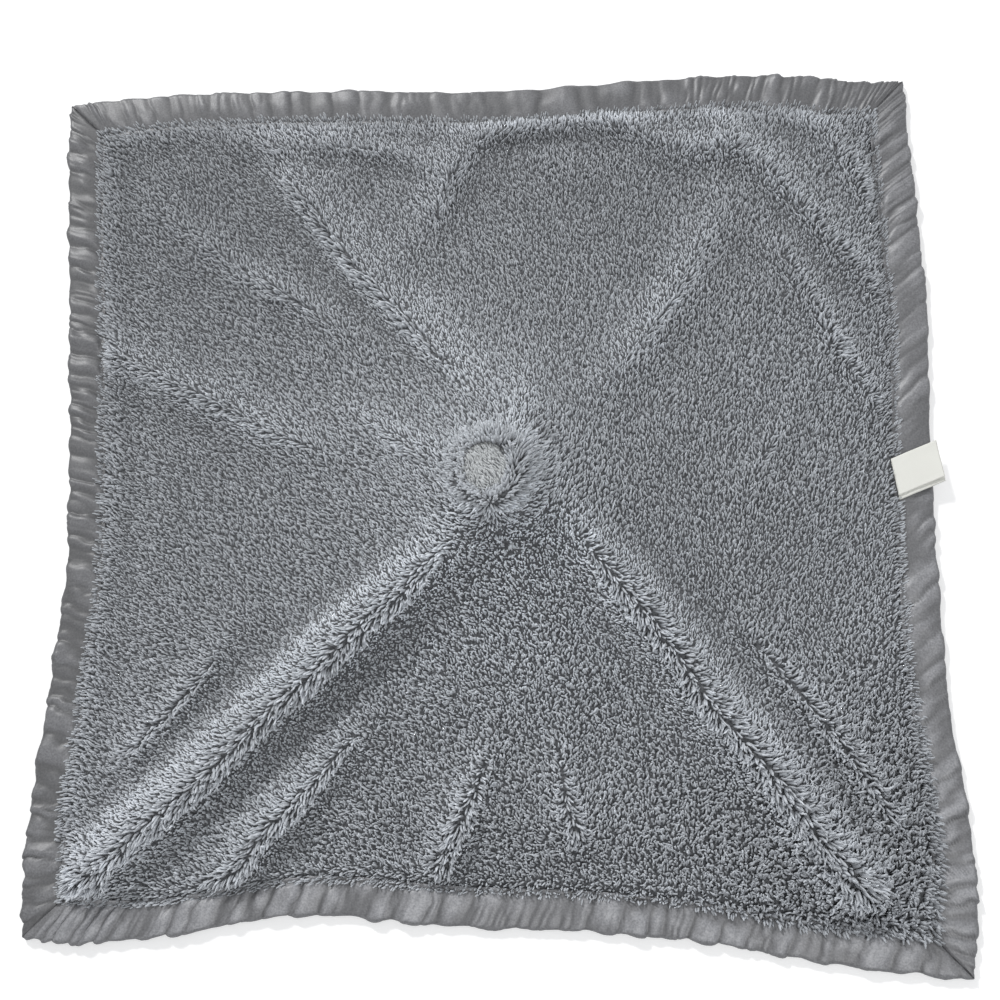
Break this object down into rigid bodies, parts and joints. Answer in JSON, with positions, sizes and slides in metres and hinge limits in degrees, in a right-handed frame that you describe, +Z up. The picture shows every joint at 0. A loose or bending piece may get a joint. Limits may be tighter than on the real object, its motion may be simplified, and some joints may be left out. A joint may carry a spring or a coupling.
{
  "type": "comfort blanket lovey",
  "caption": "Square plush comfort blanket with a gathered satin binding, sewn round the neck of a small stuffed animal head that it is draped over, back side up.",
  "frame": {"origin": "on the floor under the middle of the head's neck, where the flat of the nose rests", "axes": "+Z up, out of the blanket's back side; +Y towards the top edge that the ears point to; +X towards the edge with the label"},
  "size_m": [0.4455, 0.4479, 0.0575],
  "materials": {
    "long_pile_plush": "grey sherpa plush, pile about 6 mm long in soft clumps",
    "short_pile_plush": "lighter grey short-pile plush",
    "satin": "grey polyester satin, gathered, with soft highlights",
    "thread": "grey sewing thread",
    "embroidery": "dark embroidery thread",
    "label_tape": "off-white woven tape, bare",
    "filling": "white polyester fibre filling"
  },
  "bodies": {
    "blanket": {"back_panel": "long_pile_plush", "front_panel": "long_pile_plush", "binding_top": "satin", "binding_right": "satin", "binding_bottom": "satin", "binding_left": "satin", "hem_stitching_back": "thread", "hem_stitching_front": "thread", "mitre_seam_top_left": "thread", "mitre_seam_top_right": "thread", "mitre_seam_bottom_right": "thread", "mitre_seam_bottom_left": "thread", "neck_seam": "thread", "shoulder_tab_left": "thread", "shoulder_tab_right": "thread"},
    "head": {"head_cover": "short_pile_plush", "head_filling": "filling", "closing_patch": "short_pile_plush", "closing_seam": "thread", "muzzle": "short_pile_plush", "nose": "embroidery", "mouth_stitch": "embroidery", "eye_left": "embroidery", "eye_right": "embroidery"},
    "ear_left": {"ear_left_back": "short_pile_plush", "ear_left_lining": "satin"},
    "ear_right": {"ear_right_back": "short_pile_plush", "ear_right_lining": "satin"},
    "arm_left": {"arm_left_cover": "short_pile_plush", "arm_left_filling": "filling"},
    "arm_right": {"arm_right_cover": "short_pile_plush", "arm_right_filling": "filling"},
    "label": {"care_label_front_leaf": "label_tape", "care_label_back_leaf": "label_tape"}
  },
  "joints": [
    {"name": "head_turn", "type": "hinge", "parent": "blanket", "child": "head", "pos_m": [0, 0, 0.0474], "axis": [0, 0, 1], "range_deg": [-15, 15], "stiffness_Nm_per_rad": 0.02},
    {"name": "ear_left_fold", "type": "hinge", "parent": "head", "child": "ear_left", "pos_m": [-0.02705, 0.02705, 0.01412], "axis": [-0.7071, -0.7071, 0], "range_deg": [0, 75], "stiffness_Nm_per_rad": 0.002},
    {"name": "ear_right_fold", "type": "hinge", "parent": "head", "child": "ear_right", "pos_m": [0.02705, 0.02705, 0.01412], "axis": [-0.7071, 0.7071, 0], "range_deg": [0, 75], "stiffness_Nm_per_rad": 0.002},
    {"name": "arm_left_swing", "type": "hinge", "parent": "blanket", "child": "arm_left", "pos_m": [-0.036, -0.03021, 0.02473], "axis": [0.7547, -0.6561, 0], "range_deg": [0, 80], "stiffness_Nm_per_rad": 0.02},
    {"name": "arm_right_swing", "type": "hinge", "parent": "blanket", "child": "arm_right", "pos_m": [0.03896, -0.02628, 0.02631], "axis": [0.7071, 0.7071, 0], "range_deg": [0, 80], "stiffness_Nm_per_rad": 0.02},
    {"name": "label_flip", "type": "hinge", "parent": "blanket", "child": "label", "pos_m": [0.19315, 0.00738, 0.00545], "axis": [0.165, -0.9863, 0], "range_deg": [0, 120], "stiffness_Nm_per_rad": 0.0005}
  ]
}
